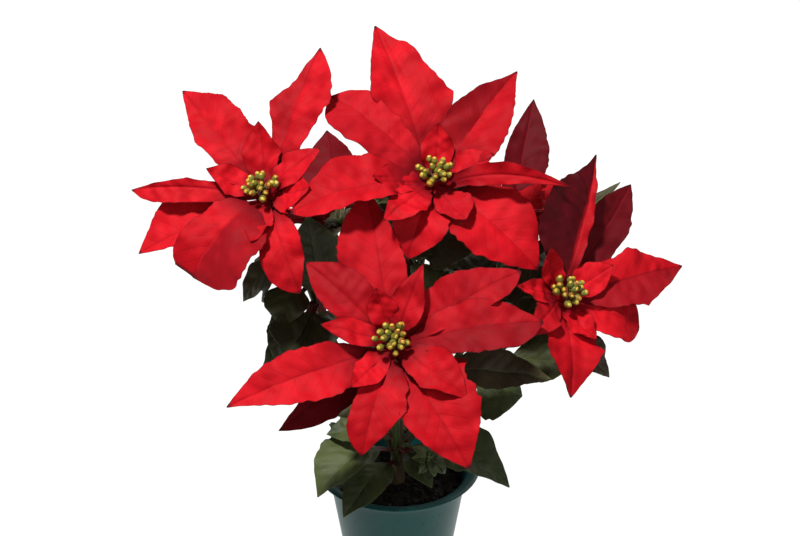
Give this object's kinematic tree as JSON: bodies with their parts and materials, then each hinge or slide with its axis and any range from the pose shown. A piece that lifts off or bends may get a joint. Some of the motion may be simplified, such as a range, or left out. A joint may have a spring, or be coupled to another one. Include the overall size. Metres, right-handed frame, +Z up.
{
  "type": "potted poinsettia",
  "caption": "Potted poinsettia: open heads of red bracts around yellow cyathia on green leafy stems, in a tapered plastic pot of soil.",
  "frame": {"origin": "centre of the pot's flat base, on the surface the pot stands on", "axes": "+Z up along the pot's axis; the pictured side of the plant faces -Y, with +X to the right as seen from there"},
  "size_m": [0.475, 0.3593, 0.5181],
  "materials": {
    "pot_plastic": "satin",
    "potting_soil": "crumbly, matte",
    "bark": "rough",
    "leaf": "soft satin",
    "bract": "velvety",
    "cyathium": "satin"
  },
  "bodies": {
    "root": {"pot": "pot_plastic", "soil": "potting_soil", "trunk": "bark", "left_stem": "leaf", "left_bracts": "bract", "left_cyathia": "cyathium", "top_stem": "leaf", "top_bracts": "bract", "top_cyathia": "cyathium", "front_stem": "leaf", "front_bracts": "bract", "front_cyathia": "cyathium", "right_stem": "leaf", "right_bracts": "bract", "right_cyathia": "cyathium", "back_right_stem": "leaf", "back_right_bracts": "bract", "back_right_cyathia": "cyathium", "back_left_stem": "leaf", "back_left_bracts": "bract", "back_left_cyathia": "cyathium"}
  },
  "joints": []
}
